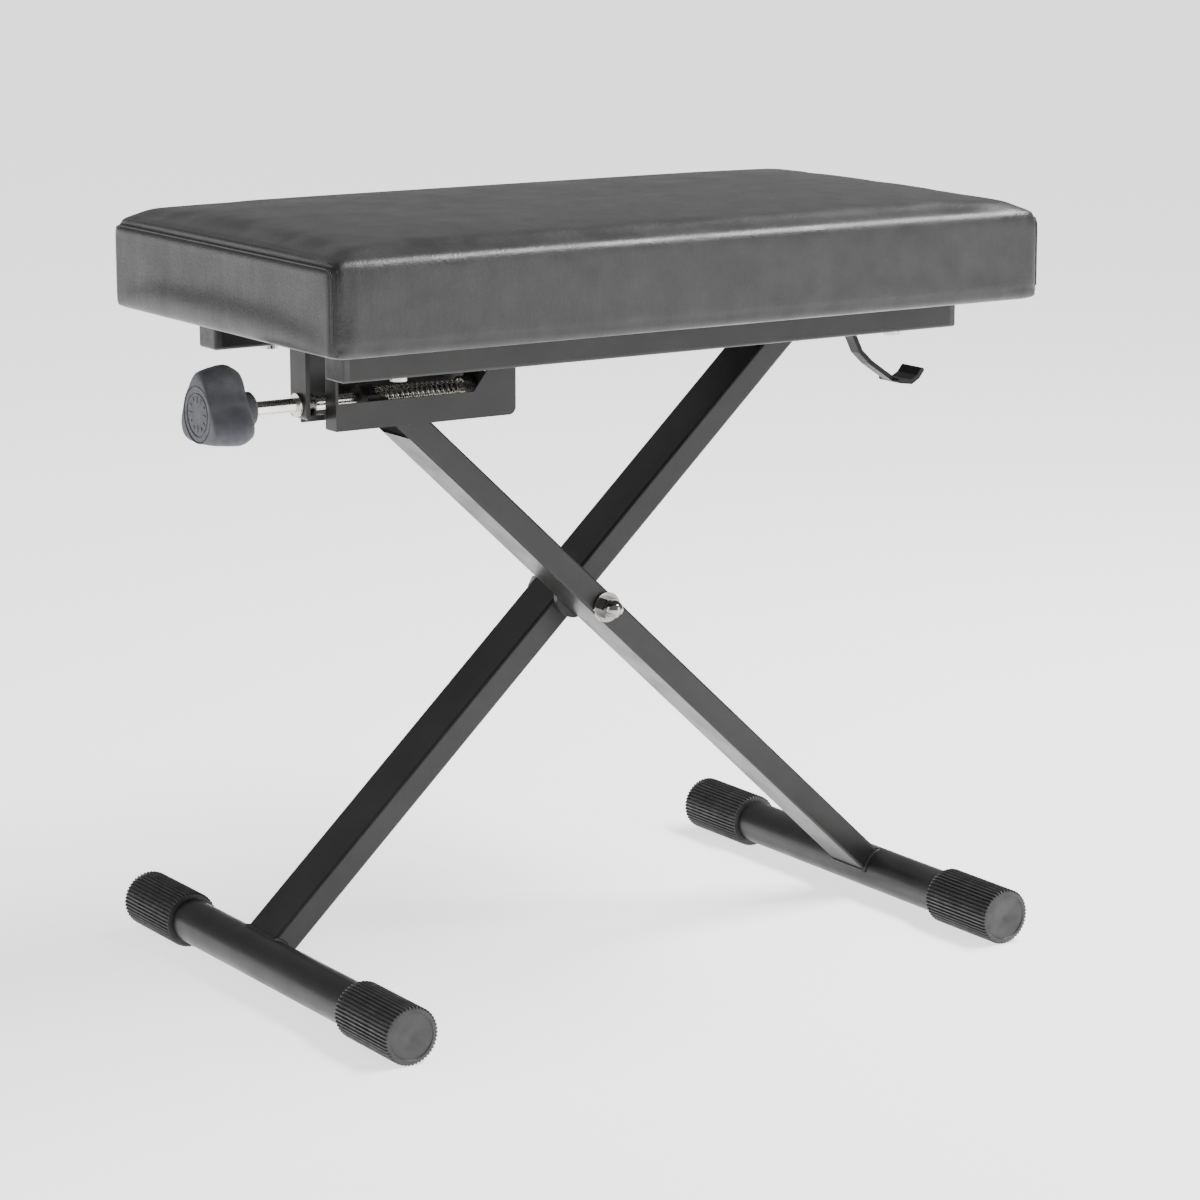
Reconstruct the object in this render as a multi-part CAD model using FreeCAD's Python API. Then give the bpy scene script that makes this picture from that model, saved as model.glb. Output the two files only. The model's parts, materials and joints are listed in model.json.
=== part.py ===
"""Folding keyboard bench on crossed legs, with a padded seat and a screw spindle for its height.

X runs along the seat, Y across it and Z up. The floor is z = 0 and the origin is under the middle
of the whole bench's box. All sizes are in millimetres.

The front leg stands on the right foot and carries the nut of the spindle under the left half of the
seat. The rear leg stands on the left foot and its axle runs under two tracks in the right half.
"""
import FreeCAD
import Part

import math
import os

Vec = FreeCAD.Vector
AXIS_X = Vec(1, 0, 0)
AXIS_Y = Vec(0, 1, 0)
AXIS_Z = Vec(0, 0, 1)

# seat
SEAT_X = 11.0
SEAT_LENGTH = 540.0
SEAT_DEPTH = 302.0
SEAT_BOTTOM = 429.0
SEAT_EDGE_HEIGHT = 62.0
SEAT_CROWN = 11.0
SEAT_CORNER_R = 9.0
PLATEAU_LENGTH = 360.0
PLATEAU_DEPTH = 150.0
BOARD_THICK = 12.0
BOARD_INSET = 12.0

# seat frame
RAIL_LEFT = -220.0
RAIL_RIGHT = 247.0
RAIL_HALF_SPAN = 94.5
RAIL_WIDTH = 22.5
RAIL_HEIGHT = 23.0
RAIL_WALL = 1.5
RAIL_CAP = 5.0
BAR_THICK = 5.0
SCREW_R = 3.0
SCREW_HEAD_R = 5.5
SCREW_HEAD_HEIGHT = 3.0

# legs and feet
LEG_ANGLE = math.radians(43.1)
PIVOT_X = 4.0
PIVOT_Z = 233.3
LEG_WIDTH = 17.6
LEG_DEPTH = 37.5
LEG_WALL = 1.8
FRONT_LEG_Y = -40.0
REAR_LEG_Y = 2.0
FOOT_REACH = 314.0
FOOT_TUBE_R = 14.7
FOOT_CAP_R = 18.75
FOOT_LENGTH = 356.0
CAP_LENGTH = 64.0
CAP_END = 5.0
CAP_RIBS = 44
PIVOT_BOLT_R = 4.0
PIVOT_NUT_HALF_FLATS = 6.5

# spindle, its nut and the housing
NUT_PIVOT_Z = 372.0
NUT_PIN_R = 3.0
AXLE_Z = 398.0
AXLE_R = 5.0
ROLLER_R = 7.0
SPINDLE_Y = -21.25
SPINDLE_Z = 383.0
SPINDLE_R = 4.4
SPRING_R = 7.0
SPRING_WIRE = 1.7
SPRING_TURNS = 18
KNOB_FACE_X = -281.0
KNOB_BACK_X = -252.0
HOUSING_LEFT = -198.0
HOUSING_RIGHT = -68.0
HOUSING_BOTTOM = 368.0
HOUSING_LIP = 385.0
HOUSING_FRONT_Y = -46.0
HOUSING_REAR_Y = 0.4
HOUSING_FLANGE_Y = -32.2
SHEET = 2.0
STRAP_WIDTH = 20.0
STRAP_X = -211.0
STRAP_THICK = 3.0

RUNNING_GAP = 0.05

RAIL_BOTTOM = SEAT_BOTTOM - RAIL_HEIGHT
NUT_REACH = (NUT_PIVOT_Z - PIVOT_Z) / math.sin(LEG_ANGLE)
AXLE_REACH = (AXLE_Z - PIVOT_Z) / math.sin(LEG_ANGLE)
PIVOT = Vec(PIVOT_X, 0, PIVOT_Z)
DOWN_RIGHT = Vec(math.cos(LEG_ANGLE), 0, -math.sin(LEG_ANGLE))
UP_RIGHT = Vec(math.cos(LEG_ANGLE), 0, math.sin(LEG_ANGLE))
NUT_PIVOT = PIVOT - DOWN_RIGHT * NUT_REACH
AXLE = PIVOT + UP_RIGHT * AXLE_REACH
RIGHT_FOOT = PIVOT + DOWN_RIGHT * FOOT_REACH
LEFT_FOOT = PIVOT - UP_RIGHT * FOOT_REACH


def block(low_x, high_x, low_y, high_y, low_z, high_z):
    corner = Vec(low_x, low_y, low_z)
    return Part.makeBox(high_x - low_x, high_y - low_y, high_z - low_z, corner)


def rod(radius, start, end):
    run = end - start
    return Part.makeCylinder(radius, run.Length, start, run)


def rod_y(radius, x, z, low_y, high_y):
    return rod(radius, Vec(x, low_y, z), Vec(x, high_y, z))


def rod_x(radius, y, z, low_x, high_x):
    return rod(radius, Vec(low_x, y, z), Vec(high_x, y, z))


def prism_y(outline, low_y, high_y):
    """A plate with its outline in X and Z, from low_y to high_y."""
    points = [Vec(x, low_y, z) for x, z in outline]
    face = Part.Face(Part.makePolygon(points + points[:1]))
    return face.extrude(Vec(0, high_y - low_y, 0))


def rounded(shape, radius, keep_edge):
    """Fillets the straight edges that keep_edge picks."""
    edges = [edge for edge in shape.Edges if keep_edge(edge)]
    return shape.makeFillet(radius, edges)


def runs_along(axis):
    def test(edge):
        if len(edge.Vertexes) != 2:
            return False
        way = edge.Vertexes[1].Point - edge.Vertexes[0].Point
        return abs(way.normalize().dot(axis)) > 0.999
    return test


def save(name, shape):
    os.makedirs("parts", exist_ok=True)
    shape.exportStep("parts/" + name + ".step")


# seat
def seat_board():
    half_x = SEAT_LENGTH / 2 - BOARD_INSET
    half_y = SEAT_DEPTH / 2 - BOARD_INSET
    board = block(SEAT_X - half_x, SEAT_X + half_x, -half_y, half_y, SEAT_BOTTOM, SEAT_BOTTOM + BOARD_THICK)
    for x, y in screw_places():
        board = board.cut(rod(SCREW_R + RUNNING_GAP, Vec(x, y, SEAT_BOTTOM - 1), Vec(x, y, SEAT_BOTTOM + 9.5)))
    return board


def seat_cushion():
    half_x = SEAT_LENGTH / 2
    half_y = SEAT_DEPTH / 2
    edge_top = SEAT_BOTTOM + SEAT_EDGE_HEIGHT
    sides = block(SEAT_X - half_x, SEAT_X + half_x, -half_y, half_y, SEAT_BOTTOM, edge_top)
    sides = rounded(sides, SEAT_CORNER_R, lambda edge: edge.BoundBox.ZMin > SEAT_BOTTOM + 1 or
                    edge.BoundBox.ZLength > 1)
    inset = SEAT_CORNER_R

    def ring(reach_x, reach_y, z):
        corners = [Vec(SEAT_X + i * reach_x, j * reach_y, z) for i, j in ((-1, -1), (1, -1), (1, 1), (-1, 1))]
        return Part.makePolygon(corners + corners[:1])

    low = ring(half_x - inset, half_y - inset, edge_top)
    high = ring(PLATEAU_LENGTH / 2, PLATEAU_DEPTH / 2, edge_top + SEAT_CROWN)
    crown = Part.makeLoft([low, high], True, True)
    pocket_x = half_x - BOARD_INSET + 0.5
    pocket_y = half_y - BOARD_INSET + 0.5
    pocket = block(SEAT_X - pocket_x, SEAT_X + pocket_x, -pocket_y, pocket_y, SEAT_BOTTOM - 1,
                   SEAT_BOTTOM + BOARD_THICK)
    return sides.fuse(crown).removeSplitter().cut(pocket)


def screw_places():
    rail_y = RAIL_HALF_SPAN - RAIL_WIDTH / 2
    return [(x, y) for x in (RAIL_LEFT + 45, RAIL_RIGHT - 45) for y in (-rail_y, rail_y)]


def board_screw(x, y):
    head = rod(SCREW_HEAD_R, Vec(x, y, RAIL_BOTTOM - SCREW_HEAD_HEIGHT), Vec(x, y, RAIL_BOTTOM))
    shank = rod(SCREW_R, Vec(x, y, RAIL_BOTTOM), Vec(x, y, SEAT_BOTTOM + 9))
    recess = Part.makeBox(3.2, 3.2, 2.2, Vec(x - 1.6, y - 1.6, RAIL_BOTTOM - SCREW_HEAD_HEIGHT - 0.4))
    return head.fuse(shank).cut(recess)


# seat frame
def rail(side):
    low, high = sorted((side * RAIL_HALF_SPAN, side * (RAIL_HALF_SPAN - RAIL_WIDTH)))
    left = RAIL_LEFT + RAIL_CAP
    right = RAIL_RIGHT - RAIL_CAP
    tube = block(left, right, low, high, RAIL_BOTTOM, SEAT_BOTTOM)
    tube = rounded(tube, 2.0, runs_along(AXIS_X))
    bore = block(left - 1, right + 1, low + RAIL_WALL, high - RAIL_WALL, RAIL_BOTTOM + RAIL_WALL,
                 SEAT_BOTTOM - RAIL_WALL)
    tube = tube.cut(bore)
    for x, y in screw_places():
        tube = tube.cut(rod(SCREW_R + RUNNING_GAP, Vec(x, y, RAIL_BOTTOM - 1), Vec(x, y, SEAT_BOTTOM + 1)))
    return tube


def rail_cap(side, end):
    """Plastic plug: a flange as large as the rail and a stub inside it."""
    low, high = sorted((side * RAIL_HALF_SPAN, side * (RAIL_HALF_SPAN - RAIL_WIDTH)))
    outside = RAIL_LEFT if end < 0 else RAIL_RIGHT
    seam = outside - end * RAIL_CAP
    flange = block(min(outside, seam), max(outside, seam), low, high, RAIL_BOTTOM, SEAT_BOTTOM)
    flange = rounded(flange, 1.8, lambda edge: abs(edge.CenterOfMass.x - seam) > 0.5)
    inner = seam - end * 14
    wall = RAIL_WALL + RUNNING_GAP
    stub = block(min(seam, inner), max(seam, inner), low + wall, high - wall, RAIL_BOTTOM + wall,
                 SEAT_BOTTOM - wall)
    return flange.fuse(stub)


def cross_bar(low_x, high_x):
    reach = RAIL_HALF_SPAN - RAIL_WIDTH
    return block(low_x, high_x, -reach, reach, SEAT_BOTTOM - BAR_THICK, SEAT_BOTTOM)


def housing_front():
    """Folded sheet in front of the nut: a low lip, a raised end and a short return at the left."""
    raised_left = -99.0
    top = SEAT_BOTTOM - BAR_THICK
    outline = [
        (HOUSING_LEFT, HOUSING_BOTTOM), (HOUSING_RIGHT, HOUSING_BOTTOM), (HOUSING_RIGHT, top),
        (-70.0, top), (raised_left + 9, 396.5), (raised_left, HOUSING_LIP), (HOUSING_LEFT, HOUSING_LIP),
    ]
    wall = prism_y(outline, HOUSING_FRONT_Y, HOUSING_FRONT_Y + SHEET)
    corner = [edge for edge in wall.Edges if runs_along(AXIS_Y)(edge) and
              abs(edge.CenterOfMass.x - HOUSING_RIGHT) < 0.1 and edge.CenterOfMass.z < HOUSING_LIP]
    wall = wall.makeFillet(5.0, corner)
    back = block(HOUSING_LEFT, HOUSING_LEFT + SHEET, HOUSING_FRONT_Y + 0.5, HOUSING_FLANGE_Y, HOUSING_BOTTOM, top)
    return wall.fuse(back).removeSplitter()


def housing_rear():
    top = SEAT_BOTTOM - BAR_THICK
    outline = [
        (HOUSING_LEFT, HOUSING_BOTTOM), (HOUSING_RIGHT, HOUSING_BOTTOM), (HOUSING_RIGHT, top),
        (HOUSING_RIGHT - 32, top), (HOUSING_RIGHT - 40, 396.5), (HOUSING_LEFT + 40, 396.5),
        (HOUSING_LEFT + 32, top), (HOUSING_LEFT, top),
    ]
    return prism_y(outline, HOUSING_REAR_Y - SHEET, HOUSING_REAR_Y)


def spindle_strap():
    """Flat strip that hangs from the left cross bar, holds the spindle and turns in at its foot."""
    low_y = SPINDLE_Y - STRAP_WIDTH / 2
    high_y = SPINDLE_Y + STRAP_WIDTH / 2
    foot = 374.0
    upright = block(STRAP_X, STRAP_X + STRAP_THICK, low_y, high_y, foot, SEAT_BOTTOM)
    turn_in = block(STRAP_X, HOUSING_LEFT - 0.2, low_y, high_y, foot, foot + STRAP_THICK)
    strap = upright.fuse(turn_in).removeSplitter()
    bend = [edge for edge in strap.Edges if runs_along(AXIS_Y)(edge) and
            edge.CenterOfMass.z < foot + 0.1 and edge.CenterOfMass.x < STRAP_X + 0.1]
    strap = strap.makeFillet(STRAP_THICK - 0.2, bend)
    return strap.cut(rod_x(SPINDLE_R + RUNNING_GAP, SPINDLE_Y, SPINDLE_Z, STRAP_X - 1, STRAP_X + 8))


def bearing_plate():
    low_y = SPINDLE_Y - STRAP_WIDTH / 2
    high_y = SPINDLE_Y + STRAP_WIDTH / 2
    plate = block(-86.0, -82.0, low_y, high_y, 376.5, SEAT_BOTTOM - BAR_THICK)
    return plate.cut(rod_x(SPINDLE_R + RUNNING_GAP, SPINDLE_Y, SPINDLE_Z, -90, -78))


def axle_track(left_x, low_y, high_y):
    """Bar that one of the axle's rollers runs under."""
    return block(left_x, RAIL_RIGHT - 1, low_y, high_y, AXLE_Z + ROLLER_R + 0.4, SEAT_BOTTOM - BAR_THICK)


def track_stop(left_x, low_y, high_y):
    """Lug at the left end of a track, which the roller can't pass."""
    return block(left_x, left_x + 5, low_y, high_y, AXLE_Z - 6, AXLE_Z + ROLLER_R + 0.4)


LEVER_PIN = Vec(140.0, 0, 412.0)
LEVER_LOW_Y = -24.5
LEVER_WIDTH = 10.0
LEVER_THICK = 3.2
LEVER_ROUTE = [
    (140.0, 412.0), (190.0, 409.5), (204.0, 405.5), (211.5, 399.5), (216.0, 392.5), (221.0, 382.5),
    (229.5, 374.5), (242.0, 366.0), (250.0, 360.8), (260.0, 359.4), (265.5, 362.5), (269.0, 367.0),
]
FINGER_START = 8
AXLE_FRONT_END = -13.5


def bent_strip(route, low_y, high_y):
    """Flat strip bent along a route in X and Z."""
    half = LEVER_THICK / 2
    strip = rod_y(half, route[0][0], route[0][1], low_y, high_y)
    for (x0, z0), (x1, z1) in zip(route, route[1:]):
        length = math.hypot(x1 - x0, z1 - z0)
        off_x = -(z1 - z0) / length * half
        off_z = (x1 - x0) / length * half
        outline = [(x0 + off_x, z0 + off_z), (x1 + off_x, z1 + off_z), (x1 - off_x, z1 - off_z),
                   (x0 - off_x, z0 - off_z)]
        strip = strip.fuse(prism_y(outline, low_y, high_y)).fuse(rod_y(half, x1, z1, low_y, high_y))
    return strip


def lever_ear(low_y):
    top = SEAT_BOTTOM - BAR_THICK
    ear = prism_y([(131.0, top), (134.0, 406.0), (146.0, 406.0), (149.0, top)], low_y, low_y + 2.5)
    return ear.cut(rod_y(3.0 + RUNNING_GAP, LEVER_PIN.x, LEVER_PIN.z, low_y - 1, low_y + 4))


def lever_pin():
    high = LEVER_LOW_Y + LEVER_WIDTH
    pin = rod_y(3.0, LEVER_PIN.x, LEVER_PIN.z, LEVER_LOW_Y - 3.5, high + 8)
    head = rod_y(4.5, LEVER_PIN.x, LEVER_PIN.z, LEVER_LOW_Y - 5, LEVER_LOW_Y - 3.5)
    return pin.fuse(head)


def release_lever():
    """Bent strip: a hub at its left end, a nose over the axle and a wide finger plate at its right end."""
    high = LEVER_LOW_Y + LEVER_WIDTH
    lever = bent_strip(LEVER_ROUTE, LEVER_LOW_Y, high)
    finger = bent_strip(LEVER_ROUTE[FINGER_START:], LEVER_LOW_Y - 6, high + 6)
    hub = rod_y(5.5, LEVER_PIN.x, LEVER_PIN.z, LEVER_LOW_Y, high)
    nose = block(183.0, 190.0, LEVER_LOW_Y, AXLE_FRONT_END + 3, AXLE_Z + AXLE_R + 0.5, 410.0)
    lever = lever.fuse(finger).fuse(hub).fuse(nose).removeSplitter()
    return lever.cut(rod_y(3.0 + RUNNING_GAP, LEVER_PIN.x, LEVER_PIN.z, LEVER_LOW_Y - 1, high + 1))


def lever_spring():
    """Small torsion coil on the lever's pin."""
    low = LEVER_LOW_Y + LEVER_WIDTH + 0.3
    coil = rod_y(5.0, LEVER_PIN.x, LEVER_PIN.z, low, low + 3.4)
    return coil.cut(rod_y(3.3, LEVER_PIN.x, LEVER_PIN.z, low - 1, low + 4))


# spindle
def spindle():
    shaft = rod_x(SPINDLE_R, SPINDLE_Y, SPINDLE_Z, KNOB_BACK_X - 14, -78.0)
    return shaft.makeChamfer(0.8, [e for e in shaft.Edges if e.Length < 30 and e.CenterOfMass.x > -80])


def spindle_collar(low_x, high_x, radius):
    collar = rod_x(radius, SPINDLE_Y, SPINDLE_Z, low_x, high_x)
    return collar.cut(rod_x(SPINDLE_R, SPINDLE_Y, SPINDLE_Z, low_x - 1, high_x + 1))


def lobed_section(x, lobe_reach, waist_radius):
    """Closed curve of a three-lobed grip, one lobe up."""
    points = []
    steps = 36
    for step in range(steps):
        turn = 2 * math.pi * step / steps
        swell = (1 + math.cos(3 * turn)) / 2
        radius = waist_radius + (lobe_reach - waist_radius) * swell
        points.append(Vec(x, SPINDLE_Y + radius * math.sin(turn), SPINDLE_Z + radius * math.cos(turn)))
    curve = Part.BSplineCurve()
    curve.interpolate(points, PeriodicFlag=True)
    return Part.Wire(curve.toShape())


def knob():
    back = lobed_section(KNOB_BACK_X, 25.0, 17.0)
    middle = lobed_section(KNOB_BACK_X - 10, 29.5, 19.5)
    front = lobed_section(KNOB_FACE_X, 26.0, 19.5)
    grip = Part.makeLoft([back, middle, front], True, False)
    hub = rod_x(11.0, SPINDLE_Y, SPINDLE_Z, KNOB_BACK_X - 1, KNOB_BACK_X + 8)
    shaft_hole = rod_x(SPINDLE_R, SPINDLE_Y, SPINDLE_Z, KNOB_BACK_X - 14, KNOB_BACK_X + 9)
    disc_seat = rod_x(17.6, SPINDLE_Y, SPINDLE_Z, KNOB_FACE_X - 5, KNOB_FACE_X + 2)
    return grip.fuse(hub).cut(shaft_hole).cut(disc_seat)


def knob_disc():
    disc = rod_x(17.5, SPINDLE_Y, SPINDLE_Z, KNOB_FACE_X + 0.2, KNOB_FACE_X + 2)
    groove = rod_x(13.8, SPINDLE_Y, SPINDLE_Z, KNOB_FACE_X - 1, KNOB_FACE_X + 0.9)
    island = rod_x(12.6, SPINDLE_Y, SPINDLE_Z, KNOB_FACE_X - 1, KNOB_FACE_X + 0.9)
    return disc.cut(groove.cut(island))


def spindle_spring():
    """Loose compression spring between the nut and the right collar."""
    low_x = -160.0 + SPRING_WIRE / 2
    high_x = -95.5 - SPRING_WIRE / 2
    length = high_x - low_x
    radius = SPRING_R - SPRING_WIRE / 2
    helix = Part.makeHelix(length / SPRING_TURNS, length, radius)
    start = Vec(radius, 0, 0)
    section = Part.Wire(Part.makeCircle(SPRING_WIRE / 2, start, Vec(0, 1, length / SPRING_TURNS / 6.283 / radius)))
    coil = Part.Wire(helix.Edges).makePipeShell([section], True, True)
    coil.rotate(Vec(0, 0, 0), AXIS_Y, 90)
    coil.translate(Vec(low_x, SPINDLE_Y, SPINDLE_Z))
    return coil


def nut_block():
    """Nut on the spindle with two arms that reach down to the front leg's pin."""
    collar = rod_x(9.0, SPINDLE_Y, SPINDLE_Z, -170.0, -160.3)
    bridge = block(-170.0, -160.3, SPINDLE_Y - 15, SPINDLE_Y + 15, SPINDLE_Z - 4, SPINDLE_Z + 4)
    nut = collar.fuse(bridge)
    for low_y in (SPINDLE_Y - 15, SPINDLE_Y + 12):
        x = NUT_PIVOT.x
        arm = prism_y([(-170.0, 387.0), (-160.3, 387.0), (x + 2, 376.4), (x + 5, 372.0), (x, 367.0),
                       (x - 8, 367.5), (-170.0, 379.0)], low_y, low_y + 3)
        nut = nut.fuse(arm)
    nut = nut.cut(rod_y(NUT_PIN_R + RUNNING_GAP, NUT_PIVOT.x, NUT_PIVOT.z, SPINDLE_Y - 20, SPINDLE_Y + 20))
    return nut.cut(rod_x(SPINDLE_R + RUNNING_GAP, SPINDLE_Y, SPINDLE_Z, -175, -155)).removeSplitter()


def nut_pin():
    low = FRONT_LEG_Y - 1.5
    high = FRONT_LEG_Y + LEG_DEPTH + 0.6
    pin = rod_y(NUT_PIN_R, NUT_PIVOT.x, NUT_PIVOT.z, low, high)
    head = rod_y(4.6, NUT_PIVOT.x, NUT_PIVOT.z, low - 1.5, FRONT_LEG_Y - 0.3)
    return pin.fuse(head)


# legs
def leg_tube(low_y, far_up, far_down, direction):
    """Rectangular tube along direction from the pivot, far_up above it and far_down below it."""
    across = direction.cross(AXIS_Y)
    wall = LEG_WALL

    def section(inset):
        half = LEG_WIDTH / 2 - inset
        start = PIVOT - direction * far_down
        start.y = low_y + inset
        corners = [start + across * half, start + across * half + AXIS_Y * (LEG_DEPTH - 2 * inset),
                   start - across * half + AXIS_Y * (LEG_DEPTH - 2 * inset), start - across * half]
        return Part.Face(Part.makePolygon(corners + corners[:1]))

    outer = section(0).extrude(direction * (far_up + far_down))
    outer = rounded(outer, 2.0, runs_along(direction))
    return outer.cut(section(wall).extrude(direction * (far_up + far_down)))


def front_leg():
    """Runs from the nut pin down to the right foot; its top is notched to clear the spindle."""
    up = DOWN_RIGHT * -1
    leg = leg_tube(FRONT_LEG_Y, NUT_REACH + 8.8, FOOT_REACH, up)
    leg = leg.cut(rod_y(FOOT_TUBE_R, RIGHT_FOOT.x, RIGHT_FOOT.z, -100, 100))
    leg = leg.cut(rod_y(PIVOT_BOLT_R + RUNNING_GAP, PIVOT_X, PIVOT_Z, -60, 60))
    leg = leg.cut(rod_y(NUT_PIN_R + RUNNING_GAP, NUT_PIVOT.x, NUT_PIVOT.z, -60, 20))
    across = up.cross(AXIS_Y)
    inner = LEG_DEPTH - 2 * LEG_WALL
    start = NUT_PIVOT - up * 70
    start.y = FRONT_LEG_Y + LEG_WALL
    away = across if across.z > 0 else across * -1
    corners = [start + away * 3, start + away * 12, start + away * 12 + up * 90, start + away * 3 + up * 90]
    notch = Part.Face(Part.makePolygon(corners + corners[:1])).extrude(AXIS_Y * inner)
    end = NUT_PIVOT - up * 12
    end.y = FRONT_LEG_Y + LEG_WALL
    corners = [end + away * 12, end - away * 12, end - away * 12 + up * 40, end + away * 12 + up * 40]
    mouth = Part.Face(Part.makePolygon(corners + corners[:1])).extrude(AXIS_Y * inner)
    leg = leg.cut(notch).cut(mouth)
    corners = [NUT_PIVOT + away * 20 + up * 20, NUT_PIVOT - away * 20 + up * 20, NUT_PIVOT - away * 20,
               NUT_PIVOT + away * 20]
    tip = Part.Face(Part.makePolygon(corners + corners[:1])).extrude(AXIS_Y * 100)
    tip.translate(Vec(0, -70, 0))
    round_end = rod_y(LEG_WIDTH / 2, NUT_PIVOT.x, NUT_PIVOT.z, -70, 30)
    return leg.cut(tip.cut(round_end))


def rear_leg():
    """Runs from the left foot up to the axle."""
    leg = leg_tube(REAR_LEG_Y, AXLE_REACH + 8.8, FOOT_REACH, UP_RIGHT)
    leg = leg.cut(rod_y(FOOT_TUBE_R, LEFT_FOOT.x, LEFT_FOOT.z, -100, 100))
    leg = leg.cut(rod_y(PIVOT_BOLT_R + RUNNING_GAP, PIVOT_X, PIVOT_Z, -60, 60))
    return leg.cut(rod_y(AXLE_R, AXLE.x, AXLE.z, -60, 60))


def foot_tube(foot):
    low = -FOOT_LENGTH / 2 + CAP_END
    high = FOOT_LENGTH / 2 - CAP_END
    tube = rod_y(FOOT_TUBE_R, foot.x, foot.z, low, high)
    return tube.cut(rod_y(FOOT_TUBE_R - 1.5, foot.x, foot.z, low - 1, high + 1))


def foot_cap(foot, side):
    """Ribbed rubber sleeve with a closed end."""
    outer_end = side * FOOT_LENGTH / 2
    inner_end = side * (FOOT_LENGTH / 2 - CAP_LENGTH)
    low, high = sorted((outer_end, inner_end))
    body = rod_y(FOOT_CAP_R, foot.x, foot.z, low, high)
    rims = [edge for edge in body.Edges if edge.Closed]
    body = body.makeFillet(1.2, rims)
    low, high = sorted((outer_end - side * CAP_END, inner_end - side))
    return body.cut(rod_y(FOOT_TUBE_R, foot.x, foot.z, low, high))


def top_axle():
    return rod_y(AXLE_R, AXLE.x, AXLE.z, AXLE_FRONT_END, REAR_LEG_Y + LEG_DEPTH + 10.5)


def axle_roller(low_y, high_y):
    return rod_y(ROLLER_R, AXLE.x, AXLE.z, low_y, high_y).cut(rod_y(AXLE_R, AXLE.x, AXLE.z, low_y - 1, high_y + 1))


def ring_y(radius, hole, low_y, high_y):
    return rod_y(radius, PIVOT_X, PIVOT_Z, low_y, high_y).cut(rod_y(hole, PIVOT_X, PIVOT_Z, low_y - 1, high_y + 1))


def pivot_bolt():
    """Bolt through both legs, its head at the rear and its threaded end in the cap nut at the front."""
    seat_face = REAR_LEG_Y + LEG_DEPTH + 0.4
    shank = rod_y(PIVOT_BOLT_R, PIVOT_X, PIVOT_Z, FRONT_LEG_Y - 9, seat_face)
    head = hexagon(PIVOT_NUT_HALF_FLATS, seat_face, seat_face + 5.3)
    return shank.fuse(head)


def hexagon(half_flats, low_y, high_y):
    reach = half_flats / math.cos(math.pi / 6)
    outline = [(PIVOT_X + reach * math.cos(math.pi / 3 * i), PIVOT_Z + reach * math.sin(math.pi / 3 * i))
               for i in range(6)]
    return prism_y(outline, low_y, high_y)


def pivot_nut():
    """Cap nut: a hexagon with a dome that covers the bolt's end."""
    base = FRONT_LEG_Y - 1.8
    nut = hexagon(PIVOT_NUT_HALF_FLATS, base - 6.5, base)
    dome_r = PIVOT_NUT_HALF_FLATS - 0.5
    neck = rod_y(dome_r, PIVOT_X, PIVOT_Z, base - 8, base - 6.5)
    dome = Part.makeSphere(dome_r, Vec(PIVOT_X, base - 8, PIVOT_Z))
    hole = rod_y(PIVOT_BOLT_R, PIVOT_X, PIVOT_Z, FRONT_LEG_Y - 9, 0)
    return nut.fuse(neck).fuse(dome).cut(hole)


def build():
    save("seat_cushion", seat_cushion())
    save("seat_board", seat_board())
    for number, (x, y) in enumerate(screw_places(), 1):
        save("board_screw_%d" % number, board_screw(x, y))
    for side, side_name in ((-1, "front"), (1, "rear")):
        save(side_name + "_rail", rail(side))
        for end, end_name in ((-1, "left"), (1, "right")):
            save("%s_rail_%s_cap" % (side_name, end_name), rail_cap(side, end))
    save("left_cross_bar", cross_bar(-207.8, -172.0))
    save("middle_cross_bar", cross_bar(-102.0, HOUSING_RIGHT))
    save("right_cross_bar", cross_bar(130.0, RAIL_RIGHT - 6))
    save("housing_front", housing_front())
    save("housing_rear", housing_rear())
    save("spindle_strap", spindle_strap())
    save("bearing_plate", bearing_plate())
    save("front_axle_track", axle_track(152.0, -9.0, 0.5))
    rear_track = axle_track(130.0, 41.5, 51.0).fuse(track_stop(130.0, 41.5, 51.0))
    save("rear_axle_track", rear_track.removeSplitter())
    save("front_lever_ear", lever_ear(LEVER_LOW_Y - 3.0))
    save("rear_lever_ear", lever_ear(LEVER_LOW_Y + LEVER_WIDTH + 4.2))
    save("lever_pin", lever_pin())
    save("lever_spring", lever_spring())
    save("release_lever", release_lever())
    save("spindle", spindle())
    save("strap_washer", spindle_collar(STRAP_X - 2.2, STRAP_X - 0.3, 7.3))
    save("strap_collar", spindle_collar(STRAP_X + STRAP_THICK + 0.3, STRAP_X + STRAP_THICK + 7, 5.8))
    save("spring_collar", spindle_collar(-95.2, -87.0, 8.5))
    save("knob", knob())
    save("knob_disc", knob_disc())
    save("spindle_spring", spindle_spring())
    save("nut_block", nut_block())
    save("nut_pin", nut_pin())
    save("front_leg", front_leg())
    save("rear_leg", rear_leg())
    for name, foot in (("right", RIGHT_FOOT), ("left", LEFT_FOOT)):
        save(name + "_foot_tube", foot_tube(foot))
        save(name + "_foot_front_cap", foot_cap(foot, -1))
        save(name + "_foot_rear_cap", foot_cap(foot, 1))
    save("top_axle", top_axle())
    save("front_roller", axle_roller(-8.0, REAR_LEG_Y - 2))
    save("rear_roller", axle_roller(REAR_LEG_Y + LEG_DEPTH + 2.5, REAR_LEG_Y + LEG_DEPTH + 10))
    save("pivot_bolt", pivot_bolt())
    save("pivot_nut", pivot_nut())
    save("pivot_washer", ring_y(10.0, PIVOT_BOLT_R, FRONT_LEG_Y - 1.8, FRONT_LEG_Y - 0.3))
    save("pivot_spacer", ring_y(14.0, PIVOT_BOLT_R, FRONT_LEG_Y + LEG_DEPTH + 0.3, REAR_LEG_Y - 0.3))


build()
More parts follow.
